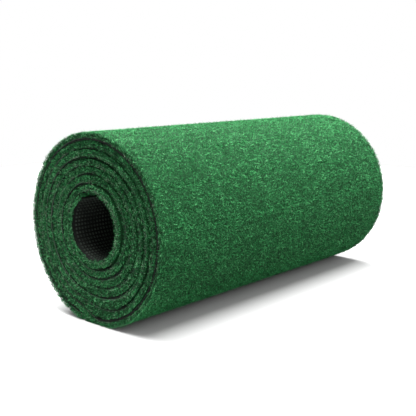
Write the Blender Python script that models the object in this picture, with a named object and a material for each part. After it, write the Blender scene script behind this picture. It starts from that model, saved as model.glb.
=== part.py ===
"""Practice putting mat: a long turf strip wound pile-outward into a roll that lies on its side.

The mat is one sheet of three plies: a turf pile, the woven backing that it is tufted into, and a
grip backing.  It is wound round an open bore in turns that are round and share one centre, and at
the foot of the roll each turn steps outward over the one inside it.  The free end is tucked in at
the foot as well.  Most of the winding stays together.  The outer turn, from the foot all the way
round to the free end, is divided across the mat into strips that hinge on one another along their
outer surface, so that it can be peeled off and laid flat in front of the roll.

Frame: X runs along the roll with x = 0 at mid-length, z = 0 is the floor and y = 0 lies under the
winding's centre.  Angles are measured about that centre from +Y towards +Z.  Stations count facets
along the mat from its inner end at the bore, and the winding runs outward with falling angle.
"""

from math import atan2, cos, hypot, pi, radians, sin
from typing import NamedTuple

import bpy


# Driving dimensions, in metres
MAT_WIDTH = 0.300
MAT_LENGTH = 2.200
PILE_THICKNESS = 0.0036
WOVEN_THICKNESS = 0.0007
GRIP_THICKNESS = 0.0010
BORE_RADIUS = 0.0224

# Clearances, in metres
PLY_GAP = 0.0003
TURN_GAP = 0.0003
STRIP_GAP = 0.0003

# How the winding is divided: the foot takes up one strip's angle, and the flap has the rest
STRIPS_PER_TURN = 15
FACETS_PER_STRIP = 3

# What follows from them
STRIP_COUNT = STRIPS_PER_TURN - 1
FACETS_PER_TURN = STRIPS_PER_TURN * FACETS_PER_STRIP
FACET_ANGLE = 2 * pi / FACETS_PER_TURN
FOOT_ANGLE = FACETS_PER_STRIP * FACET_ANGLE
MAT_THICKNESS = GRIP_THICKNESS + PLY_GAP + WOVEN_THICKNESS + PLY_GAP + PILE_THICKNESS
WINDING_PITCH = MAT_THICKNESS + TURN_GAP


class Ply(NamedTuple):
    """One ply of the mat: its name, the depths of its two faces and its finish."""

    name: str
    inner_depth: float
    thickness: float
    colour: tuple
    roughness: float

    @property
    def outer_depth(self):
        """Height of the ply's outer face above the mat's inner face."""
        return self.inner_depth + self.thickness


GRIP_PLY = Ply("grip_backing", 0.0, GRIP_THICKNESS, (0.018, 0.019, 0.019), 0.75)
WOVEN_PLY = Ply("woven_backing", GRIP_PLY.outer_depth + PLY_GAP, WOVEN_THICKNESS, (0.26, 0.29, 0.25), 0.85)
PILE_PLY = Ply("turf_pile", WOVEN_PLY.outer_depth + PLY_GAP, PILE_THICKNESS, (0.030, 0.135, 0.048), 0.95)
PLIES = (PILE_PLY, WOVEN_PLY, GRIP_PLY)


def steps_out(station, free_end):
    """How many pitches the mat has stepped outward at a station.

    Each time the mat passes the place at the foot where its free end will lie, it steps out by one
    pitch.  The outermost step takes one facet, the next one in takes two, and so on inward.
    """
    total = 0.0
    for turns_inside in range(1, free_end // FACETS_PER_TURN + 1):
        start = free_end - turns_inside * FACETS_PER_TURN
        total += min(max((station - start) / turns_inside, 0.0), 1.0)
    return total


def radius_at(station, depth, free_end):
    """Distance from the winding's centre to a depth of the mat at a station."""
    return BORE_RADIUS + depth + WINDING_PITCH * steps_out(station, free_end)


def length_wound(free_end):
    """Length of the middle of the woven ply from the inner end to a free end, facet by facet."""
    depth = WOVEN_PLY.inner_depth + WOVEN_THICKNESS / 2
    radii = [radius_at(station, depth, free_end) for station in range(free_end + 1)]
    return sum(
        hypot(far * sin(FACET_ANGLE), far * cos(FACET_ANGLE) - near)
        for near, far in zip(radii, radii[1:])
    )


def stations_for_length():
    """The fewest facets that hold the mat's whole length."""
    station = FACETS_PER_TURN
    while length_wound(station) < MAT_LENGTH:
        station += 1
    return station


FREE_END = stations_for_length()
FIRST_HINGE = FREE_END - STRIP_COUNT * FACETS_PER_STRIP
FOOT_START = FREE_END - FACETS_PER_TURN
FIRST_HINGE_ANGLE = -(pi + FOOT_ANGLE) / 2
OUTER_RADIUS = radius_at(FREE_END, PILE_PLY.outer_depth, FREE_END)
CENTRE_HEIGHT = -OUTER_RADIUS * sin(FIRST_HINGE_ANGLE)


def point_at(station, depth):
    """The (y, z) place of a depth of the mat at a station, with the pile pressed flat at the foot."""
    angle = FIRST_HINGE_ANGLE + (FIRST_HINGE - station) * FACET_ANGLE
    radius = radius_at(station, depth, FREE_END)
    height = CENTRE_HEIGHT + radius * sin(angle)
    if depth == PILE_PLY.outer_depth and FOOT_START < station <= FIRST_HINGE:
        height = 0.0
    return radius * cos(angle), height


def moved_towards(start, target, distance):
    """The point a distance along the line from start to target."""
    share = distance / hypot(target[0] - start[0], target[1] - start[1])
    return (
        start[0] + (target[0] - start[0]) * share,
        start[1] + (target[1] - start[1]) * share,
    )


def face_line(depth, first, last):
    """Points along one face of the mat between two stations, drawn back from cuts between strips."""
    points = [point_at(station, depth) for station in range(first, last + 1)]
    start, end = points[0], points[-1]
    if first > 0:
        points[0] = moved_towards(start, points[1], STRIP_GAP / 2)
    if last < FREE_END:
        points[-1] = moved_towards(end, points[-2], STRIP_GAP / 2)
    return points


def ply_outline(ply, first, last):
    """Closed outline of a ply between two stations: out along its outer face and back along its inner."""
    outer = face_line(ply.outer_depth, first, last)
    inner = face_line(ply.inner_depth, first, last)
    return outer + inner[::-1]


def make_material(ply):
    """Principled material in the ply's colour and roughness."""
    material = bpy.data.materials.new(ply.name)
    material.use_nodes = True
    shader = material.node_tree.nodes["Principled BSDF"]
    shader.inputs["Base Color"].default_value = (*ply.colour, 1.0)
    shader.inputs["Roughness"].default_value = ply.roughness
    shader.inputs["Metallic"].default_value = 0.0
    material.diffuse_color = (*ply.colour, 1.0)
    return material


def add_ply(name, outline, material, collection, hinge=None, origin=(0.0, 0.0)):
    """Extrude an outline across the mat's width, about an origin that may be a hinge line."""
    curve = bpy.data.curves.new(name, "CURVE")
    curve.dimensions = "2D"
    curve.fill_mode = "BOTH"
    curve.extrude = MAT_WIDTH / 2
    spline = curve.splines.new("POLY")
    spline.points.add(len(outline) - 1)
    for point, (y, z) in zip(spline.points, outline):
        point.co = (y - origin[0], z - origin[1], 0.0, 1.0)
    spline.use_cyclic_u = True
    curve.materials.append(material)
    piece = bpy.data.objects.new(name, curve)
    # The curve's own plane stands upright across the roll, with its thickness along X.
    piece.rotation_euler = (pi / 2, 0.0, pi / 2)
    piece.parent = hinge
    collection.objects.link(piece)
    return piece


def add_hinge(number, place, parent, parent_place, collection):
    """Empty on the hinge line of a strip, carried by the hinge of the strip before it."""
    hinge = bpy.data.objects.new(f"hinge_{number:02d}", None)
    hinge.empty_display_type = "SINGLE_ARROW"
    hinge.empty_display_size = MAT_WIDTH / 2
    hinge.location = (0.0, place[0] - parent_place[0], place[1] - parent_place[1])
    hinge.parent = parent
    collection.objects.link(hinge)
    return hinge


def build_roll(materials, collection):
    """The part of the mat that stays wound, from the inner end to the first hinge."""
    for ply in PLIES:
        outline = ply_outline(ply, 0, FIRST_HINGE)
        add_ply(f"{ply.name}_roll", outline, materials[ply.name], collection)


def build_flap(materials, collection):
    """The strips of the outer turn, each hinged to the one before it."""
    hinge = None
    hinge_place = (0.0, 0.0)
    for number in range(1, STRIP_COUNT + 1):
        first = FIRST_HINGE + (number - 1) * FACETS_PER_STRIP
        last = first + FACETS_PER_STRIP
        place = point_at(first, PILE_PLY.outer_depth)
        hinge = add_hinge(number, place, hinge, hinge_place, collection)
        hinge_place = place
        for ply in PLIES:
            name = f"{ply.name}_strip_{number:02d}"
            outline = ply_outline(ply, first, last)
            add_ply(name, outline, materials[ply.name], collection, hinge, place)


def main():
    """Clear the scene and build the mat in its own collection."""
    for item in list(bpy.data.objects):
        bpy.data.objects.remove(item)
    collection = bpy.data.collections.new("practice_putting_mat")
    bpy.context.scene.collection.children.link(collection)
    materials = {ply.name: make_material(ply) for ply in PLIES}
    build_roll(materials, collection)
    build_flap(materials, collection)
    bpy.context.view_layer.update()


main()
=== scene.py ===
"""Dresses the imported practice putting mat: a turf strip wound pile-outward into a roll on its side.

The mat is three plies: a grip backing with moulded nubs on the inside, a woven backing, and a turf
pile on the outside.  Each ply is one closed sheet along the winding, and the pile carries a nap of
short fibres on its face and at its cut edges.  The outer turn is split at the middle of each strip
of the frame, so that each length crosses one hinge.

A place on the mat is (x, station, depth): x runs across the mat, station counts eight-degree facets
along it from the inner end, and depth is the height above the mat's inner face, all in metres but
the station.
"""

import logging
from dataclasses import dataclass, field
from enum import Enum
from math import ceil, cos, hypot, pi, sin

import bpy
import numpy as np
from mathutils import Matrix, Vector


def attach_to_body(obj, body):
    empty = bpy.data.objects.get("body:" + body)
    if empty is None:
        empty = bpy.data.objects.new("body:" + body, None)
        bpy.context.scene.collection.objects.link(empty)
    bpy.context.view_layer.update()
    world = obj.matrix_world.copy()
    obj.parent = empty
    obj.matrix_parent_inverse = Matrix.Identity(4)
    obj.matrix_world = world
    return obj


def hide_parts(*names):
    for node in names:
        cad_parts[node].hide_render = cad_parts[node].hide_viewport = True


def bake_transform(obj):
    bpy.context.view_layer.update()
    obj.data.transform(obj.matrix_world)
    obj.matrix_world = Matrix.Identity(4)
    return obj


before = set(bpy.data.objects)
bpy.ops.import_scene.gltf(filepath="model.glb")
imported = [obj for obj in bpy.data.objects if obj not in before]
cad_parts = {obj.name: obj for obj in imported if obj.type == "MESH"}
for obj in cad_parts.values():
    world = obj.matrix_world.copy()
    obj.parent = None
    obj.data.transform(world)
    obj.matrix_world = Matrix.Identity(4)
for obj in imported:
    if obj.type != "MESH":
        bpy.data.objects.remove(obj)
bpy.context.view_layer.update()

logging.basicConfig(level=logging.INFO, format="%(levelname)s %(message)s")
log = logging.getLogger("putting_mat")

Floats = np.ndarray

# For the finishes' coordinates along the mat, in metres: a mean turn's radius and facet
MEAN_RADIUS = 0.05
MEAN_FACET = 0.007

# How far each sheet is cut back from the mat's own edge, and the pile's base from its top, in metres
TURF_RECESS = 0.0012
WOVEN_RECESS = 0.0014
GRIP_RECESS = 0.0015
OUTER_GRIP_RECESS = 0.0004
BASE_RECESS = 0.0010

# The moulded nubs, in metres, and their half-widths as shares of the pitch and of the foot
NUB_PITCH = 0.0029
NUB_HEIGHT = 0.0006
NUB_SINK = 0.0003
NUB_MARGIN = 0.0018
NUB_FOOT = 0.30
NUB_TOP = 0.6

# Stations of the innermost turn: its cut edge is covered up to the first, and pale between the two
RIM_COVER_END = 27
RIM_LINE_END = 43


class Quality(Enum):
    """How many fibres a run makes, as a share of the full count."""

    QUICK = 0.3
    FULL = 1.0


class Slot(Enum):
    """The mat's three plies, by name."""

    TURF = "turf"
    WOVEN = "woven_backing"
    GRIP = "grip_backing"


@dataclass(frozen=True)
class MatSize:
    """Sizes of the mat and of its winding, in metres unless said."""

    width: float = 0.300
    length: float = 2.200
    pile: float = 0.0036
    woven: float = 0.0007
    grip: float = 0.0010
    bore_radius: float = 0.0224
    ply_gap: float = 0.0003
    turn_gap: float = 0.0003
    strips_per_turn: int = 15
    facets_per_strip: int = 3

    @property
    def strips(self) -> int:
        """Strips in the outer turn: all but the foot's."""
        return self.strips_per_turn - 1

    @property
    def facets_per_turn(self) -> int:
        """Facets in one turn."""
        return self.strips_per_turn * self.facets_per_strip

    @property
    def facet(self) -> float:
        """Angle of one facet, in radians."""
        return 2 * pi / self.facets_per_turn

    @property
    def woven_depth(self) -> float:
        """Depth of the woven ply's inner face."""
        return self.grip + self.ply_gap

    @property
    def pile_depth(self) -> float:
        """Depth of the pile's inner face."""
        return self.woven_depth + self.woven + self.ply_gap

    @property
    def depth(self) -> float:
        """Depth of the pile's outer face, which is the mat's thickness."""
        return self.pile_depth + self.pile

    @property
    def pitch(self) -> float:
        """How far one turn lies outside the one within it."""
        return self.depth + self.turn_gap


def value_noise(seed: int, u: Floats, v: Floats) -> Floats:
    """Smooth noise from 0 to 1 on the plane.

    A lattice of random values is blended with s = f^2 (3 - 2 f) of the fractional part f along each
    axis: n = mix(mix(a, b, s_u), mix(c, d, s_u), s_v).

    Args:
        seed: Seed of the lattice.
        u: First coordinate, in lattice cells.
        v: Second coordinate, in lattice cells.

    Returns:
        The noise at each place.
    """
    table = np.random.default_rng(seed).random((256, 256))
    iu, iv = np.floor(u).astype(int), np.floor(v).astype(int)
    su, sv = u - iu, v - iv
    su, sv = su * su * (3 - 2 * su), sv * sv * (3 - 2 * sv)

    def at(i: int, j: int) -> Floats:
        """Lattice values i cells across and j cells up."""
        return table[(iu + i) % 256, (iv + j) % 256]

    low = at(0, 0) * (1 - su) + at(1, 0) * su
    high = at(0, 1) * (1 - su) + at(1, 1) * su
    return low * (1 - sv) + high * sv


@dataclass(frozen=True)
class Looseness:
    """How loosely the mat is wound by hand, in metres unless said.

    Attributes:
        lift: How much further out the inner end lies.
        lift_facets: Facets over which that lift dies out.
        least_slack: Gap that is open between all turns.
        more_slack: Further gap in the loosest places.
        waver: Half height of the slow wave in the radius.
        wander: Full range of the turns' drift across the mat.
        inner_shift: Drift of the inner end.
        swell: Most that the pile swells into the room outside it.
        least_pile: Thinnest pile.
    """

    lift: float = 0.0024
    lift_facets: int = 16
    least_slack: float = 0.0002
    more_slack: float = 0.0009
    waver: float = 0.00005
    wander: float = 0.0020
    inner_shift: float = 0.0008
    swell: float = 0.0026
    least_pile: float = 0.0008


@dataclass(frozen=True)
class Winding:
    """Places the mat in space: a round winding whose turns step outward at the foot.

    With t the station and k the turns that lie outside a step, the radius of a depth d is
    r(t, d) = bore + d + pitch * sum_k smooth((t - t_k + 0.6) / (1 + 2 k^1.35)) plus a slow waver and
    a lift at the inner end, and its angle is a(t) = a_hinge + (t_hinge - t) * facet.  The point is
    (r cos a, centre + r sin a).
    """

    size: MatSize
    free_end: int
    first_hinge: int
    hinge_angle: float
    centre: float
    loose: Looseness = Looseness()

    @classmethod
    def of(cls, size: MatSize) -> "Winding":
        """The winding that holds the mat's whole length.

        Args:
            size: The mat's sizes.

        Returns:
            The winding, resting on the floor with its first hinge at the foot.
        """
        middle = size.woven_depth + size.woven / 2
        free = size.facets_per_turn
        while True:
            probe = cls(size, free, 0, 0.0, 0.0)
            r = probe.faceted_radius(np.arange(free + 1.0), middle)
            wound = np.hypot(r[1:] * sin(size.facet), r[1:] * cos(size.facet) - r[:-1]).sum()
            if wound >= size.length:
                break
            free += 1
        angle = -(pi + size.facets_per_strip * size.facet) / 2
        outer = float(probe.faceted_radius(np.array([float(free)]), size.depth)[0])
        hinge = free - size.strips * size.facets_per_strip
        return cls(size, free, hinge, angle, -outer * sin(angle))

    def starts(self) -> list:
        """(turns outside, station) of each step at the foot."""
        turn = self.size.facets_per_turn
        return [(k, self.free_end - k * turn) for k in range(1, self.free_end // turn + 1)]

    def faceted_radius(self, station: Floats, depth: float) -> Floats:
        """The frame's own radius, whose steps are straight."""
        steps = sum(np.clip((station - start) / k, 0, 1) for k, start in self.starts())
        return self.size.bore_radius + depth + self.size.pitch * steps

    def radius(self, station: Floats, depth: Floats) -> Floats:
        """Smooth radius: each step eases in and out, and is gentler the further in it lies.

        The first 16 facets also lie up to 2.4 mm further out, with the lift 2.4 mm (1 - t / 16)^2.

        Args:
            station: Station along the mat.
            depth: Height above the mat's inner face.

        Returns:
            The distance from the winding's centre.
        """
        steps = 0.0
        for k, start in self.starts():
            f = np.clip((station - start + 0.6) / (1 + 2 * k**1.35), 0, 1)
            steps = steps + f * f * (3 - 2 * f)
        lift = self.loose.lift * (1 - np.clip(station / self.loose.lift_facets, 0, 1)) ** 2
        return self.size.bore_radius + depth + self.size.pitch * steps + self.waver(station) + lift

    def slack(self, station: Floats) -> Floats:
        """Open gap between the pile and the turn outside it, which is wider in loose places."""
        open_share = np.clip(value_noise(41, station / 8.0, np.full_like(station, 2.5)) * 1.5 - 0.35, 0, 1)
        return self.loose.least_slack + self.loose.more_slack * open_share**1.5

    def pile_top(self, station: Floats) -> Floats:
        """Depth of the pile's outer face: it swells into the room that it has, and fills the foot.

        Inside the winding the depth is r(t + turn) - r(t) - slack(t).  From under the free end to the
        first hinge it reaches out to the roll's own radius, and beyond that hinge it is the mat's
        thickness.

        Args:
            station: Station along the mat.

        Returns:
            The depth at each station.
        """
        size = self.size
        here = self.radius(station, 0.0)
        beyond = self.radius(np.minimum(station + size.facets_per_turn, self.free_end), 0.0)
        thinnest, thickest = size.pile_depth + self.loose.least_pile, size.depth + self.loose.swell
        room = np.clip(beyond - here - self.slack(station), thinnest, thickest)
        outer = float(self.faceted_radius(np.array([float(self.free_end)]), size.depth)[0])
        open_share = np.clip((station + size.facets_per_turn - self.free_end) / 0.4, 0, 1)
        foot = room + (outer - here - room) * open_share
        return np.where(station >= self.first_hinge - 1.5, size.depth, foot)

    def waver(self, station: Floats) -> Floats:
        """A slow wave of up to 0.1 mm in the core's radius, which dies out towards the outer turn."""
        turn = station / self.size.facets_per_turn
        inside = np.clip((self.first_hinge - self.size.facets_per_turn - station) / 20, 0, 1)
        wave = np.sin(9.3 * turn + 0.4) + 0.7 * np.sin(23.1 * turn + 2.0) + 0.5 * np.sin(41.7 * turn)
        return self.loose.waver * wave * inside

    def shift(self, station: Floats) -> Floats:
        """How far the core's turns are out of line across the mat.

        It wanders slowly along the mat, with a little more at the inner end and none near the flap.

        Args:
            station: Station along the mat.

        Returns:
            The shift along X at each station.
        """
        inside = np.clip((self.first_hinge - 30 - station) / 25, 0, 1)
        wander = value_noise(51, station / 19.0, np.full_like(station, 1.5)) - 0.5
        near_end = np.clip(1 - station / 50, 0, 1)
        return inside * (self.loose.wander * wander - self.loose.inner_shift * near_end)

    def angle(self, station: Floats) -> Floats:
        """Angle about the winding's centre, from +Y towards +Z."""
        return self.hinge_angle + (self.first_hinge - station) * self.size.facet

    def place(self, x: Floats, station: Floats, depth: Floats) -> Floats:
        """Points in space of places on the mat, kept on or above the floor.

        Args:
            x: Place across the mat.
            station: Station along the mat.
            depth: Height above the mat's inner face.

        Returns:
            An array of points, shaped like the inputs with a last axis of 3.
        """
        x, station, depth = np.broadcast_arrays(x, station, depth)
        x = x + self.shift(station)
        r, a = self.radius(station, depth), self.angle(station)
        lowest = 0.00025 * np.clip((self.size.depth + 0.0004 - depth) / self.size.depth, 0, 1)
        z = np.maximum(self.centre + r * np.sin(a), lowest)
        return np.stack([x, r * np.cos(a), z], axis=-1)

    def arc(self, first: float, last: float, depth: float) -> float:
        """Length along the mat between two stations at a depth."""
        r = self.faceted_radius(np.linspace(first, last, 400), depth)
        return float(r.mean() * (last - first) * self.size.facet)

    def hinge(self, number: int) -> int:
        """Station of a strip's hinge."""
        return self.first_hinge + (number - 1) * self.size.facets_per_strip


@dataclass(frozen=True)
class Stretch:
    """A length of mat that is one piece: its stations, its bodies and its name."""

    name: str
    first: float
    last: float
    number: int = 0

    @property
    def bends(self) -> bool:
        """Whether it crosses a hinge."""
        return self.number > 0

    @property
    def bodies(self) -> tuple:
        """The bodies on the two sides of its hinge."""
        before = "roll" if self.number == 1 else f"strip_{self.number - 1:02d}"
        return before, f"strip_{self.number:02d}"


def stretches(winding: Winding) -> list:
    """The core, then one length for each hinge, cut at the middles of the strips."""
    half = winding.size.facets_per_strip / 2
    out = [Stretch("core", 0.0, winding.first_hinge - half)]
    for number in range(1, winding.size.strips + 1):
        hinge = winding.hinge(number)
        last = winding.free_end if number == winding.size.strips else hinge + half
        out.append(Stretch(f"flap_{number:02d}", hinge - half, float(last), number))
    return out


def attach(obj: bpy.types.Object, stretch: Stretch, winding: Winding) -> None:
    """Puts a finished piece of the core on the roll's body; a piece of the outer turn only has its
    transform baked into its mesh.

    Args:
        obj: The piece, final in its mesh.
        stretch: The length of mat that it belongs to.
        winding: The winding.
    """
    if not stretch.bends:
        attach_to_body(obj, "roll")
        return
    half = winding.size.facets_per_strip / 2
    hinge = winding.hinge(stretch.number)
    ends = winding.place(0.0, np.array([hinge - half, hinge + half]), winding.size.depth)
    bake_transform(obj)


class Shader:
    """A node tree under construction."""

    def __init__(self, name: str):
        self.material = bpy.data.materials.new(name)
        self.material.use_nodes = True
        self.tree = self.material.node_tree
        self.principled = self.tree.nodes["Principled BSDF"]

    def node(self, kind: str, **values):
        """A node of a kind, with its properties and its constant sockets set."""
        node = self.tree.nodes.new(kind)
        for key, value in values.items():
            if key in node.inputs:
                node.inputs[key].default_value = value
            else:
                setattr(node, key, value)
        return node

    def link(self, out, into) -> None:
        """Joins an output socket to an input socket."""
        self.tree.links.new(out, into)

    def ramp(self, factor, stops: list):
        """Colour ramp of (place, colour) stops, driven by a socket."""
        node = self.node("ShaderNodeValToRGB")
        elements = node.color_ramp.elements
        while len(elements) < len(stops):
            elements.new(0.5)
        for element, (place, colour) in zip(elements, stops):
            element.position = place
            element.color = (*colour, 1.0)
        self.link(factor, node.inputs["Fac"])
        return node.outputs["Color"]

    def mix(self, factor, a, b, mode: str = "MIX"):
        """Mix of two colours; a socket or a constant can stand for each input."""
        node = self.node("ShaderNodeMix", data_type="RGBA", blend_type=mode)
        for socket, value in ((node.inputs[0], factor), (node.inputs[6], a), (node.inputs[7], b)):
            if isinstance(value, bpy.types.NodeSocket):
                self.link(value, socket)
            else:
                socket.default_value = value if socket == node.inputs[0] else (*value, 1.0)
        return node.outputs[2]

    def noise(self, vector, scale: float, detail: float = 2.0, roughness: float = 0.5):
        """Noise texture's value on a vector."""
        node = self.node("ShaderNodeTexNoise", Scale=scale, Detail=detail, Roughness=roughness)
        self.link(vector, node.inputs["Vector"])
        return node.outputs["Fac"]

    def bump(self, height, strength: float, distance: float) -> None:
        """Bump from a height socket into the surface."""
        node = self.node("ShaderNodeBump", Strength=strength, Distance=distance)
        self.link(height, node.inputs["Height"])
        self.link(node.outputs["Normal"], self.principled.inputs["Normal"])

    def lay(self):
        """The piece's own flat coordinates: metres across and along the mat."""
        return self.node("ShaderNodeUVMap", uv_map="lay").outputs["UV"]


@dataclass(frozen=True)
class FibreFinish:
    """Finish of the nap: u is a fibre's tone and v runs from its root to its tip, along which painted shade
    darkens each fibre towards its root.
    """

    dark: tuple = (0.003, 0.026, 0.008)
    middle: tuple = (0.029, 0.235, 0.068)
    light: tuple = (0.170, 0.640, 0.245)
    # Painted shade: a fibre's colour at its root, as a share of its colour at the tip
    painted_root_shade: float = 0.35
    roughness: float = 0.6

    def material(self) -> bpy.types.Material:
        """The nap's material, read from the palette coordinates alone."""
        s = Shader("turf_nap")
        split = s.node("ShaderNodeSeparateXYZ")
        s.link(s.node("ShaderNodeUVMap", uv_map="OFBake").outputs["UV"], split.inputs[0])
        stops = [(0.0, self.dark), (0.45, self.middle), (0.8, self.light), (1.0, (0.26, 0.34, 0.25))]
        tone = s.ramp(split.outputs["X"], stops)
        # Painted shade: each fibre darkens from its tip down to its root
        shade = self.painted_root_shade
        along = s.ramp(split.outputs["Y"], [(0.0, (shade,) * 3), (0.7, (1.0,) * 3)])
        s.link(s.mix(1.0, tone, along, "MULTIPLY"), s.principled.inputs["Base Color"])
        s.principled.inputs["Roughness"].default_value = self.roughness
        s.principled.inputs["Specular IOR Level"].default_value = 0.12
        return s.material


@dataclass(frozen=True)
class TurfFinish:
    """Finish of the dense base of the pile, seen between the fibres: coloured far darker than the fibres,
    as painted shade of the pile's depths.
    """

    # Painted shade: the base is much darker than the fibres on the whole, for the shade deep in the pile
    dark: tuple = (0.002, 0.011, 0.004)
    light: tuple = (0.012, 0.062, 0.021)
    roughness: float = 0.9

    def material(self) -> bpy.types.Material:
        """The pile base's material."""
        s = Shader("turf_base")
        lay = s.lay()
        fine = s.noise(lay, 900.0, 3.0, 0.7)
        broad = s.noise(lay, 120.0, 2.0)
        colour = s.ramp(fine, [(0.38, self.dark), (0.62, self.light)])
        patch = s.ramp(broad, [(0.3, (0.7, 0.7, 0.7)), (0.7, (1.0, 1.0, 1.0))])
        s.link(s.mix(1.0, colour, patch, "MULTIPLY"), s.principled.inputs["Base Color"])
        s.principled.inputs["Roughness"].default_value = self.roughness
        s.principled.inputs["Specular IOR Level"].default_value = 0.05
        s.bump(fine, 0.6, 0.0006)
        return s.material


@dataclass(frozen=True)
class WovenFinish:
    """Finish of the woven backing: flat tapes crossing at right angles."""

    dark: tuple = (0.012, 0.022, 0.014)
    light: tuple = (0.060, 0.090, 0.062)
    roughness: float = 0.8

    def material(self) -> bpy.types.Material:
        """The woven backing's material."""
        s = Shader("woven_backing")
        lay = s.lay()
        across = s.node("ShaderNodeTexWave", wave_type="BANDS", bands_direction="X", Scale=150.0)
        along = s.node("ShaderNodeTexWave", wave_type="BANDS", bands_direction="Y", Scale=150.0)
        s.link(lay, across.inputs["Vector"])
        s.link(lay, along.inputs["Vector"])
        weave = s.node("ShaderNodeMath", operation="MULTIPLY")
        s.link(across.outputs["Fac"], weave.inputs[0])
        s.link(along.outputs["Fac"], weave.inputs[1])
        tint = s.ramp(s.noise(lay, 260.0, 3.0, 0.6), [(0.3, self.dark), (0.7, self.light)])
        # Painted shade: the weave is darkened to three quarters in its low places between the tapes
        depth = s.ramp(weave.outputs[0], [(0.0, (0.75, 0.75, 0.75)), (0.6, (1.0, 1.0, 1.0))])
        s.link(s.mix(1.0, tint, depth, "MULTIPLY"), s.principled.inputs["Base Color"])
        s.principled.inputs["Roughness"].default_value = self.roughness
        s.bump(weave.outputs[0], 0.4, 0.0004)
        return s.material


@dataclass(frozen=True)
class GripFinish:
    """Finish of the rubber grip backing."""

    dark: tuple = (0.0016, 0.0022, 0.0017)
    light: tuple = (0.0050, 0.0068, 0.0053)
    roughness: float = 0.7

    def material(self, name: str, lift: float = 1.0) -> bpy.types.Material:
        """The rubber's material.

        Args:
            name: The material's name.
            lift: How much lighter it is than the sheet; above 1 it makes a lighter copy of the rubber for
                the nubs, as painted light for the light that they catch.

        Returns:
            The material.
        """
        s = Shader(name)
        lay = s.lay()
        grain = s.noise(lay, 1400.0, 2.0, 0.6)
        wear = s.noise(lay, 70.0, 3.0)
        # Painted light: a lift above 1 gives a lit copy of the same rubber
        dark = tuple(c * lift for c in self.dark)
        light = tuple(c * lift for c in self.light)
        colour = s.ramp(wear, [(0.3, dark), (0.75, light)])
        s.link(colour, s.principled.inputs["Base Color"])
        rough = s.node("ShaderNodeMapRange")
        s.link(grain, rough.inputs["Value"])
        rough.inputs["To Min"].default_value = self.roughness
        rough.inputs["To Max"].default_value = self.roughness + 0.2
        s.link(rough.outputs["Result"], s.principled.inputs["Roughness"])
        s.principled.inputs["Specular IOR Level"].default_value = 0.14
        s.bump(grain, 0.25, 0.0002)
        return s.material


@dataclass
class MeshData:
    """Points, faces and face-corner coordinates of one piece, all as arrays."""

    points: Floats
    faces: Floats
    corners: Floats
    more_faces: list = field(default_factory=list)

    def build(self, name: str, material: bpy.types.Material, uv: str, smooth: bool) -> bpy.types.Object:
        """Makes the mesh object in the scene.

        Args:
            name: The object's name.
            material: Its one material.
            uv: Name of its coordinates layer.
            smooth: Whether it is shaded smooth.

        Returns:
            The object, at the origin and unturned.
        """
        sides = self.faces.shape[1]
        count = len(self.faces)
        mesh = bpy.data.meshes.new(name)
        loops = np.concatenate([self.faces.ravel(), *self.more_faces]).astype(np.int32)
        totals = [sides] * count + [len(f) for f in self.more_faces]
        starts = np.concatenate([[0], np.cumsum(totals)[:-1]]).astype(np.int32)
        mesh.vertices.add(len(self.points))
        mesh.vertices.foreach_set("co", self.points.astype(np.float32).ravel())
        mesh.loops.add(len(loops))
        mesh.loops.foreach_set("vertex_index", loops)
        mesh.polygons.add(len(totals))
        mesh.polygons.foreach_set("loop_start", starts)
        mesh.polygons.foreach_set("use_smooth", (np.arange(len(totals)) < count) & smooth)
        mesh.update(calc_edges=True)
        layer = mesh.uv_layers.new(name=uv)
        layer.data.foreach_set("uv", self.corners.astype(np.float32).ravel())
        mesh.validate()
        mesh.materials.append(material)
        obj = bpy.data.objects.new(name, mesh)
        bpy.context.scene.collection.objects.link(obj)
        return obj


@dataclass(frozen=True)
class PlySection:
    """Cross-section of a ply: its half width, its two depths and how round its edges are."""

    half_width: float
    inner: float
    outer: float
    rounding: float
    columns: int

    def loop(self) -> Floats:
        """Closed (x, depth) outline, running anticlockwise seen along the mat.

        Each edge is half of a superellipse, with p from -90 to 90 degrees and power(c) the 0.6 power
        of c with its sign kept: x = side (w - r + r power(cos p)), d = mid + h power(sin p).

        Returns:
            An array of (x, depth) points.
        """
        w, r = self.half_width, self.rounding
        middle, half = (self.inner + self.outer) / 2, (self.outer - self.inner) / 2
        across = np.linspace(-(w - r), w - r, self.columns)
        bend = np.linspace(-pi / 2, pi / 2, 7)[1:-1]
        c, s = (np.sign(wave) * np.abs(wave) ** 0.6 for wave in (np.cos(bend), np.sin(bend)))
        right = np.stack([w - r + r * c, middle + half * s], axis=1)
        left = np.stack([-(w - r) - r * c, middle - half * s], axis=1)
        low = np.stack([across, np.full_like(across, self.inner)], axis=1)
        high = np.stack([across[::-1], np.full_like(across, self.outer)], axis=1)
        return np.concatenate([low, right, high, left])


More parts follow.
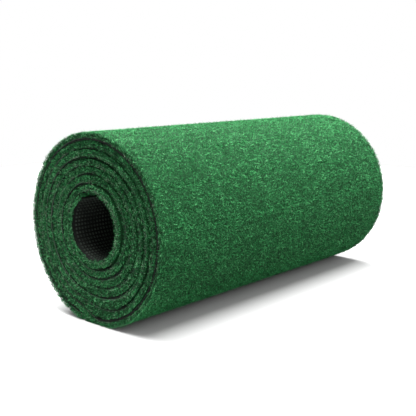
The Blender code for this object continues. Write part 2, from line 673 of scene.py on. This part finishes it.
class PlyBuilder:
    """Sweeps a ply's cross-section along a stretch of the winding."""

    def __init__(self, winding: Winding):
        self.winding = winding

    def build(self, stretch: Stretch, section: PlySection, step: float, swells: bool) -> MeshData:
        """The closed sheet of a ply along a stretch.

        The surface is place(x(p), t, d(p) + g(d) (top(t) - mat)), with p round the outline, t along
        the stretch and g from 0 at the inner face to 1 at the outer; both ends are closed.

        Args:
            stretch: The length of mat.
            section: The ply's cross-section.
            step: Stations between rings.
            swells: Whether the outer face follows the pile's top.

        Returns:
            The mesh data, with coordinates in metres across and along the mat.
        """
        loop = section.loop()
        rings = max(2, ceil((stretch.last - stretch.first) / step)) + 1
        t = np.linspace(stretch.first, stretch.last, rings)
        lift = (loop[:, 1] - section.inner) / (section.outer - section.inner)
        swell = self.winding.pile_top(t) - self.winding.size.depth if swells else 0.0 * t
        depth = loop[None, :, 1] + swell[:, None] * lift[None, :]
        points = self.winding.place(loop[None, :, 0], t[:, None], depth)
        n = len(loop)
        i, j = np.meshgrid(np.arange(rings - 1), np.arange(n), indexing="ij")
        k = (j + 1) % n
        quads = np.stack([i * n + j, (i + 1) * n + j, (i + 1) * n + k, i * n + k], axis=-1).reshape(-1, 4)
        along = (t - stretch.first) * self.winding.size.facet * MEAN_RADIUS + stretch.first * MEAN_FACET
        around = np.concatenate([[0.0], np.cumsum(np.hypot(*np.diff(loop, axis=0).T))])
        closing = around[-1] + hypot(*(loop[0] - loop[-1]))
        around = np.append(around, closing)
        u = np.stack([around[j], around[j], around[j + 1], around[j + 1]], axis=-1)
        v = np.stack([along[i], along[i + 1], along[i + 1], along[i]], axis=-1)
        corners = np.stack([u, v], axis=-1).reshape(-1, 2)
        caps = [np.arange(n), (rings - 1) * n + np.arange(n)[::-1]]
        cap_uv = np.concatenate([loop, loop[::-1]])
        return MeshData(points.reshape(-1, 3), quads, np.concatenate([corners, cap_uv]), caps)


@dataclass(frozen=True)
class NapPatch:
    """One patch of nap: where its roots are and how its fibres lean.

    Attributes:
        x: Root places across the mat.
        station: Root stations.
        depth: Root depths.
        lean: Directions as (across, along, outward) weights, not yet unit vectors.
        length: Fibre lengths.
        width: Fibre widths.
        tone: Tones from 0, dark, to 1, light.
        ceiling: Greatest depth of a tip.
    """

    x: Floats
    station: Floats
    depth: Floats
    lean: Floats
    length: Floats
    width: Floats
    tone: Floats
    ceiling: Floats


@dataclass(frozen=True)
class NapDensity:
    """Fibres on a square millimetre of each place.

    Attributes:
        face: The outer turn's face.
        hidden_face: The core's face that the outer turn covers.
        foot_face: The core's face at the foot.
        near_edge: The core's cut edge at the near end.
        far_edge: The core's cut edge at the far end.
        outer_edge: The outer turn's cut edges.
        foot_edge: The cut edges at the foot.
        end: The two cuts across the mat.
    """

    face: float = 1.70
    hidden_face: float = 0.42
    foot_face: float = 1.6
    near_edge: float = 6.6
    far_edge: float = 3.6
    outer_edge: float = 6.4
    foot_edge: float = 8.0
    end: float = 5.0


class Nap:
    """Grows fibres: each is a closed three-sided spike."""

    def __init__(self, winding: Winding, share: float):
        self.winding = winding
        self.share = share

    def count(self, area: float, per_square_mm: float) -> int:
        """Fibres on an area in square metres."""
        return int(area * 1e6 * per_square_mm * self.share)

    def face(self, stretch: Stretch, per_square_mm: float, ceiling: float, seed: int) -> NapPatch:
        """Nap on the pile's outer face.

        Args:
            stretch: The length of mat.
            per_square_mm: Fibres on a square millimetre.
            ceiling: How far a tip may rise above the pile's top.
            seed: Seed of the patch.

        Returns:
            The patch.
        """
        size = self.winding.size
        rng = np.random.default_rng(seed)
        area = size.width * self.winding.arc(stretch.first, stretch.last, size.depth)
        n = self.count(area, per_square_mm)
        x = (rng.random(n) - 0.5) * size.width
        station = stretch.first - 0.07 + rng.random(n) * (stretch.last - stretch.first + 0.14)
        station = np.minimum(station, self.winding.free_end)
        u, v = x * 1000, station * 10.0
        swirl = 2 * pi * value_noise(21, u / 5.0, v / 5.0) * 2.0 + rng.normal(0, 1.1, n)
        lift = 0.25 + 1.1 * rng.random(n)
        rim = np.clip((np.abs(x) - size.width / 2 + 0.0030) / 0.0030, 0, 1)
        lean = np.stack([np.cos(swirl) + 1.2 * rim * np.sign(x), np.sin(swirl), lift], axis=1)
        stray = rng.random(n) < 0.06 + 0.24 * rim
        length = (0.0009 + 0.0008 * rng.random(n)) * np.where(stray, 2.2, 1.0)
        width = (0.00031 + 0.00024 * rng.random(n)) * np.where(stray, 0.6, 1.0)
        clump = value_noise(22, u / 0.85, v / 0.85)
        broad = value_noise(23, u / 16.0, v / 16.0)
        tone = 0.07 + 0.36 * clump + 0.07 * broad + rng.normal(0, 0.16, n)
        top = self.winding.pile_top(station)
        depth = top - 0.0013 + 0.0006 * rng.random(n)
        limit = top + ceiling + np.where(stray, 0.0010, 0.0) * (ceiling > 0.0005)
        return NapPatch(x, station, depth, lean, length, width, tone, limit)

    def edge(
        self, stretch: Stretch, side: int, per_square_mm: float, seed: int, last: float = 0.0
    ) -> NapPatch:
        """Nap at a cut edge of the pile: fibres lie against the end of the roll.

        Args:
            stretch: The length of mat.
            side: -1 or +1, the end of the roll.
            per_square_mm: Fibres on a square millimetre.
            seed: Seed of the patch.
            last: How far a tip may cross into the gap outside the mat.

        Returns:
            The patch.
        """
        size = self.winding.size
        rng = np.random.default_rng(seed)
        long = self.winding.arc(stretch.first, stretch.last, size.depth)
        n = self.count(long * size.pile, per_square_mm)
        first_r = self.winding.faceted_radius(np.array([stretch.first]), size.depth)[0]
        last_r = self.winding.faceted_radius(np.array([stretch.last]), size.depth)[0]
        pick = rng.random(n)
        even = np.sqrt(first_r**2 + pick * (last_r**2 - first_r**2))
        share = (even - first_r) / max(last_r - first_r, 1e-9)
        share = np.where(abs(last_r - first_r) < 1e-6, pick, share)
        station = stretch.first + share * (stretch.last - stretch.first)
        top = self.winding.pile_top(station)
        cover = value_noise(34, station / 2.3, np.floor(station / size.facets_per_turn) + 0.5)
        cover = np.where(station > self.winding.first_hinge - 2, 0.1, cover)
        cover = np.where(station < RIM_COVER_END, 1.0, cover)
        floor_depth = size.woven_depth + 0.0001 - 0.0012 * np.clip(cover * 2.3 - 0.4, 0, 1)
        rim = station < size.facets_per_turn
        floor_depth = np.where(rim & (cover > 0.3), -0.0002, floor_depth)
        depth = floor_depth + (top - floor_depth - 0.0005) * rng.random(n)
        depth = depth - 0.0008 * rim * rng.random(n) ** 3
        x = side * (size.width / 2 - 0.0013 + 0.0010 * rng.random(n))
        u = station * self.winding.faceted_radius(station, depth.mean()) * size.facet * 1000
        turn = np.floor(station / size.facets_per_turn) * 37.0
        loose = np.where(rim, 1.8, 1.0)
        sway = 2.2 * (value_noise(31, u / 3.0, turn) - 0.5) + rng.normal(0, 1.3, n) * loose
        lean = np.stack([side * (0.15 + 0.95 * rng.random(n)), np.sin(sway), np.cos(sway)], axis=1)
        length = 0.0008 + 0.0011 * rng.random(n)
        width = 0.00024 + 0.00024 * rng.random(n)
        clump = value_noise(32, u / 0.85, turn + depth * 1200)
        # Painted shade: fibres rooted deeper in the cut edge, nearer the backing, are a little darker
        rise = (depth - size.woven_depth) / (top - size.woven_depth)
        tone = -0.24 + 0.80 * clump + 0.08 * rise + 0.06 * rim + rng.normal(0, 0.30, n)
        # Painted shade: about a third of the fibres are made much darker, standing in for the shaded gaps
        # between fibres
        tone = tone - 0.50 * (rng.random(n) < 0.36)
        rim_line = (station > RIM_COVER_END) & (station < RIM_LINE_END)
        frayed = (depth < size.pile_depth) & ((value_noise(33, u / 6.0, turn + 5.0) > 0.62) | rim_line)
        frayed &= (rng.random(n) < np.where(rim_line, 0.35, 0.16)) & (depth > 0.0005 * rim)
        tone = np.where(frayed, 0.97, tone)
        width = np.where(frayed, 0.00024, width)
        ceiling = top + last + 0.0004 * rng.random(n) ** 3 + 0.0010 * (station < 12)
        return NapPatch(x, station, depth, lean, length, width, tone, ceiling)

    def end(self, station: float, way: int, per_square_mm: float, seed: int) -> NapPatch:
        """Nap at a cut across the mat: fibres lean over the end.

        Args:
            station: Station of the cut.
            way: -1 at the inner end, +1 at the free end.
            per_square_mm: Fibres on a square millimetre.
            seed: Seed of the patch.

        Returns:
            The patch.
        """
        size = self.winding.size
        rng = np.random.default_rng(seed)
        n = self.count(size.width * size.depth, per_square_mm)
        x = (rng.random(n) - 0.5) * (size.width - 0.0010)
        at = station - way * 0.12 * rng.random(n)
        top = self.winding.pile_top(at)
        depth = size.woven_depth + (top - size.woven_depth) * rng.random(n)
        across, along, outward = rng.normal(0, 0.5, n), way * (0.4 + rng.random(n)), rng.normal(0.2, 0.6, n)
        lean = np.stack([across, along, outward], axis=1)
        length = 0.0012 + 0.0014 * rng.random(n)
        width = 0.00030 + 0.00028 * rng.random(n)
        tone = 0.22 + rng.normal(0, 0.2, n)
        return NapPatch(x, at, depth, lean, length, width, tone, top + 0.0004)

    def build(self, patches: list) -> MeshData:
        """Closed spikes for several patches.

        A fibre's root triangle is c + w (cos q_i e1 + sin q_i e2), q_i = 2 pi i / 3, and its tip is
        c + L d, where d is its lean in the directions across, along and out of the mat.

        Args:
            patches: The patches.

        Returns:
            The mesh data, with palette coordinates: tone, and 0 at the root to 1 at the tip.
        """
        names = ("x", "station", "depth", "lean", "length", "width", "tone", "ceiling")
        x, station, depth, lean, length, width, tone, ceiling = (
            np.concatenate([getattr(patch, name) for patch in patches]) for name in names
        )
        lean = lean / np.linalg.norm(lean, axis=1, keepdims=True)
        radius = self.winding.radius(station, depth)
        along = lean[:, 1] * length / (radius * self.winding.size.facet)
        tip_depth = np.minimum(depth + lean[:, 2] * length, ceiling)
        tip_station = np.clip(station + along, -0.9, self.winding.free_end + 0.25)
        root = self.winding.place(x, station, depth)
        tip = self.winding.place(x + lean[:, 0] * length, tip_station, tip_depth)
        line = tip - root
        line = line / np.maximum(np.linalg.norm(line, axis=1, keepdims=True), 1e-9)
        helper = np.where(np.abs(line[:, :1]) < 0.8, [[1.0, 0.0, 0.0]], [[0.0, 1.0, 0.0]])
        e1 = np.cross(line, helper)
        e1 = e1 / np.maximum(np.linalg.norm(e1, axis=1, keepdims=True), 1e-9)
        e2 = np.cross(line, e1)
        n = len(x)
        half = (width / 2)[:, None]
        ring = [root + half * (cos(2 * pi * i / 3) * e1 + sin(2 * pi * i / 3) * e2) for i in range(3)]
        points = np.stack([*ring, tip], axis=1).reshape(-1, 3)
        points[:, 2] = np.maximum(points[:, 2], 0.0001)
        base = (4 * np.arange(n))[:, None]
        pattern = np.array([[0, 1, 3], [1, 2, 3], [2, 0, 3], [0, 2, 1]])
        faces = (base[:, :, None] + pattern[None]).reshape(-1, 3)
        tone = np.clip(tone, 0.02, 0.98)
        u = np.repeat(tone, 12) + np.tile([-0.008, 0.008, 0.0] * 3 + [-0.008, 0.0, 0.008], n)
        v = np.tile([0.02, 0.02, 0.98] * 3 + [0.01, 0.01, 0.02], n)
        return MeshData(points, faces, np.stack([u, v], axis=1))


class NubField:
    """A square grid of small moulded nubs on the grip ply's inner face."""

    def __init__(self, winding: Winding, pitch: float, height: float):
        self.winding = winding
        self.pitch = pitch
        self.height = height

    def build(self, stretch: Stretch) -> MeshData:
        """Closed four-sided nubs along a stretch.

        Each nub is a frustum, with corners at half-width a on the ply and b at its top, and its
        sides lie along and across the mat.

        Args:
            stretch: The length of mat.

        Returns:
            The mesh data, with coordinates in metres across and along the mat.
        """
        size = self.winding.size
        columns = int((size.width - 0.006) / self.pitch)
        xs = (np.arange(columns) - (columns - 1) / 2) * self.pitch
        first, last = stretch.first, stretch.last
        fine = np.linspace(0.0, self.winding.free_end, 4000)
        pieces = np.diff(fine) * size.facet * self.winding.faceted_radius(fine, 0.0)[1:]
        metres = np.concatenate([[0.0], np.cumsum(pieces)])
        rows = np.arange(NUB_MARGIN, metres[-1] - NUB_MARGIN, self.pitch)
        stations = np.interp(rows, metres, fine)
        stations = stations[(stations >= first) & (stations < last)]
        x, t = (g.ravel() for g in np.meshgrid(xs, stations))
        a = self.pitch * NUB_FOOT
        b = a * NUB_TOP
        square = np.array([[-1, -1], [1, -1], [1, 1], [-1, 1]])
        r = self.winding.radius(t, 0.0)[:, None] * size.facet
        x_corner, t_corner = square[:, 0], square[:, 1] / r
        low = self.winding.place(x[:, None] + a * x_corner, t[:, None] + a * t_corner, NUB_SINK)
        top = self.winding.place(x[:, None] + b * x_corner, t[:, None] + b * t_corner, -self.height)
        points = np.concatenate([low, top], axis=1).reshape(-1, 3)
        sides = [[4, 5, 1, 0], [5, 6, 2, 1], [6, 7, 3, 2], [7, 4, 0, 3]]
        pattern = np.array([[0, 1, 2, 3], [7, 6, 5, 4], *sides])
        faces = ((8 * np.arange(len(x)))[:, None, None] + pattern[None]).reshape(-1, 4)
        flat = np.stack([x, np.interp(t, fine, metres)], axis=1)
        offset = 0.5 * a * square[None, None]
        corners = (flat[:, None, None, :] + np.tile(offset, (1, 6, 1, 1))).reshape(-1, 2)
        return MeshData(points, faces, corners)


@dataclass
class Finishes:
    """The materials of the mat."""

    nap: bpy.types.Material
    turf: bpy.types.Material
    woven: bpy.types.Material
    grip: bpy.types.Material
    nubs: bpy.types.Material

    @classmethod
    def make(cls) -> "Finishes":
        """Builds each material once."""
        grip = GripFinish()
        return cls(
            FibreFinish().material(),
            TurfFinish().material(),
            WovenFinish().material(),
            grip.material("grip_rubber"),
            # Painted light: the nubs' rubber is 5.2 times lighter than the sheet's
            grip.material("grip_nubs", 5.2),
        )


@dataclass
class Mat:
    """The whole mat: its plies, nap and nubs, stretch by stretch."""

    winding: Winding
    finishes: Finishes
    quality: Quality
    density: NapDensity = NapDensity()
    pieces: list = field(default_factory=list)

    def section(self, slot: Slot, bends: bool) -> PlySection:
        """Cross-section of a ply's visible sheet.

        The pile's base lies below its nap, and the outer turn's rubber shows at the cut edge.

        Args:
            slot: The ply's slot.
            bends: Whether it is in the outer turn.

        Returns:
            The cross-section.
        """
        s = self.winding.size
        if slot is Slot.TURF:
            return PlySection(s.width / 2 - TURF_RECESS, s.pile_depth, s.depth - BASE_RECESS, 0.0009, 25)
        if slot is Slot.WOVEN:
            outer = s.woven_depth + s.woven
            return PlySection(s.width / 2 - WOVEN_RECESS, s.woven_depth, outer, 0.0003, 9)
        recess = OUTER_GRIP_RECESS if bends else GRIP_RECESS
        return PlySection(s.width / 2 - recess, 0.0, s.grip, 0.0003, 9)

    def note(self, obj: bpy.types.Object, stretch: Stretch) -> bpy.types.Object:
        """Attaches and logs a finished piece, and keeps it among the pieces."""
        attach(obj, stretch, self.winding)
        self.pieces.append(obj)
        log.info("%s: %d points", obj.name, len(obj.data.vertices))
        return obj

    def node(self, slot: Slot, stretch: Stretch) -> str:
        """Name of the frame's node that a ply's stretch stands for."""
        ply = "turf_pile" if slot is Slot.TURF else slot.value
        return f"{ply}_strip_{stretch.number:02d}" if stretch.bends else f"{ply}_roll"

    def add_ply(self, slot: Slot, stretch: Stretch) -> bpy.types.Object:
        """Adds one ply of one stretch and hides the frame's node that it replaces."""
        finishes = self.finishes
        material = {Slot.TURF: finishes.turf, Slot.WOVEN: finishes.woven, Slot.GRIP: finishes.grip}
        step = 0.25 if stretch.bends else 0.5
        section = self.section(slot, stretch.bends)
        data = PlyBuilder(self.winding).build(stretch, section, step, slot is Slot.TURF)
        obj = data.build(f"{slot.value}_{stretch.name}", material[slot], "lay", True)
        self.note(obj, stretch)
        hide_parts(self.node(slot, stretch))
        return obj

    def add_nap(self, name: str, patches: list, stretch: Stretch) -> bpy.types.Object:
        """Adds one piece of nap."""
        data = Nap(self.winding, self.quality.value).build(patches)
        return self.note(data.build(name, self.finishes.nap, "OFBake", False), stretch)

    def core_nap(self, stretch: Stretch) -> list:
        """Nap of the core: its cut edges at both ends, and its outermost face."""
        nap = Nap(self.winding, self.quality.value)
        size, out = self.winding.size, []
        cuts = np.array([0.0, 120.0, 190.0, 245.0, stretch.last])
        for side, word in ((-1, "near"), (1, "far")):
            for part, (a, b) in enumerate(zip(cuts[:-1], cuts[1:]), 1):
                cut = Stretch("core", float(a), float(b))
                dense = self.density.near_edge if side < 0 else self.density.far_edge
                patch = nap.edge(cut, side, dense, 100 + part + 10 * side, 0.0003)
                out.append(self.add_nap(f"turf_edge_nap_{word}_{part}", [patch], stretch))
        under = np.linspace(stretch.last - size.facets_per_turn, stretch.last - 1.2, 3)
        for part, (a, b) in enumerate(zip(under[:-1], under[1:]), 1):
            hidden = Stretch("core", float(a), float(b))
            patch = nap.face(hidden, self.density.hidden_face, 0.0001, 70 + part)
            out.append(self.add_nap(f"turf_face_nap_core_{part}", [patch], stretch))
        foot = Stretch("core", self.winding.free_end - size.facets_per_turn - 0.5, stretch.last)
        press = nap.face(foot, self.density.foot_face, 0.0004, 8)
        sides = [nap.edge(foot, side, self.density.foot_edge, 9 + side, 0.0003) for side in (-1, 1)]
        start = nap.end(0.0, -1, self.density.end, 6)
        out.append(self.add_nap("turf_face_nap_foot", [press, *sides, start], stretch))
        return out

    def flap_nap(self, stretch: Stretch) -> list:
        """Nap of a length of the outer turn: its face, its two cut edges and its free end."""
        nap = Nap(self.winding, self.quality.value)
        seed = 200 + 10 * stretch.number
        patches = [nap.face(stretch, self.density.face, 0.0016, seed)]
        for side in (-1, 1):
            patches.append(nap.edge(stretch, side, self.density.outer_edge, seed + 2 + side, 0.0014))
        if stretch.last == self.winding.free_end:
            patches.append(nap.end(stretch.last, 1, self.density.end, 5))
        return [self.add_nap(f"turf_nap_{stretch.name}", patches, stretch)]

    def add_nubs(self, stretch: Stretch, part: Stretch) -> bpy.types.Object:
        """Adds the nubs on part of a stretch."""
        data = NubField(self.winding, NUB_PITCH, NUB_HEIGHT).build(part)
        obj = data.build(f"grip_nubs_{stretch.name}", self.finishes.nubs, "lay", False)
        return self.note(obj, stretch)

    def build(self) -> None:
        """Builds each stretch: its plies, nap and nubs."""
        size = self.winding.size
        for stretch in stretches(self.winding):
            turf = self.add_ply(Slot.TURF, stretch)
            woven = self.add_ply(Slot.WOVEN, stretch)
            grip = self.add_ply(Slot.GRIP, stretch)
            fibres = self.flap_nap(stretch) if stretch.bends else self.core_nap(stretch)
            shown = stretch if stretch.bends else Stretch("bore", 0.0, size.facets_per_turn + 3.0)
            self.add_nubs(stretch, shown)
            long = self.winding.arc(stretch.first, stretch.last, size.woven_depth)


@dataclass(frozen=True)
class Studio:
    """Pale floor, soft lights and camera."""

    floor_size: float = 0.85
    lens: float = 64.73
    camera_place: tuple = (-0.4914, -0.4122, 0.1823)
    camera_target: tuple = (-0.0231, 0.0, 0.0699)

    def floor(self) -> None:
        """A wide pale floor."""
        s = Shader("pale_floor")
        s.principled.inputs["Base Color"].default_value = (0.34, 0.34, 0.34, 1.0)
        s.principled.inputs["Roughness"].default_value = 0.9
        s.principled.inputs["Specular IOR Level"].default_value = 0.1
        h = self.floor_size
        corners = [(-h, -h, 0.0), (h, -h, 0.0), (h, h, 0.0), (-h, h, 0.0)]
        mesh = bpy.data.meshes.new("floor")
        mesh.from_pydata(corners, [], [(0, 1, 2, 3)])
        mesh.materials.append(s.material)
        floor = bpy.data.objects.new("floor", mesh)
        bpy.context.scene.collection.objects.link(floor)

    def area(self, name: str, place: tuple, target: tuple, size: tuple, power: float) -> None:
        """A rectangular soft light at a place, turned to a target."""
        light = bpy.data.lights.new(name, "AREA")
        light.shape = "RECTANGLE"
        light.size, light.size_y = size
        light.energy = power
        obj = bpy.data.objects.new(name, light)
        obj.location = place
        obj.rotation_euler = (Vector(target) - Vector(place)).to_track_quat("-Z", "Y").to_euler()
        bpy.context.scene.collection.objects.link(obj)

    def lights(self) -> None:
        """White surroundings and a wide overhead light."""
        world = bpy.data.worlds.new("white_studio")
        world.use_nodes = True
        background = world.node_tree.nodes["Background"]
        background.inputs["Color"].default_value = (1.0, 1.0, 1.0, 1.0)
        background.inputs["Strength"].default_value = 1.0
        bpy.context.scene.world = world
        self.area("overhead", (0.0, 0.35, 1.2), (0.0, 0.35, 0.0), (1.2, 2.0), 146.0)
        self.area("front", (-0.20, -1.30, 0.90), (0.0, -0.10, 0.0), (1.2, 1.0), 12.0)

    def camera(self) -> None:
        """The camera, on its target."""
        data = bpy.data.cameras.new("camera")
        data.lens = self.lens
        data.sensor_width = 36.0
        obj = bpy.data.objects.new("camera", data)
        obj.location = self.camera_place
        aim = Vector(self.camera_target) - Vector(self.camera_place)
        obj.rotation_euler = aim.to_track_quat("-Z", "Y").to_euler()
        bpy.context.scene.collection.objects.link(obj)
        bpy.context.scene.camera = obj

    def build(self) -> None:
        """Everything around the mat."""
        self.floor()
        self.lights()
        self.camera()
        scene = bpy.context.scene
        scene.view_settings.view_transform = "Standard"
        scene.view_settings.look = "None"


def main() -> None:
    """Builds the mat and the studio."""
    winding = Winding.of(MatSize())
    log.info("free end at %d, first hinge at %d", winding.free_end, winding.first_hinge)
    Mat(winding, Finishes.make(), Quality.FULL).build()
    Studio().build()


if __name__ == "__main__":
    main()
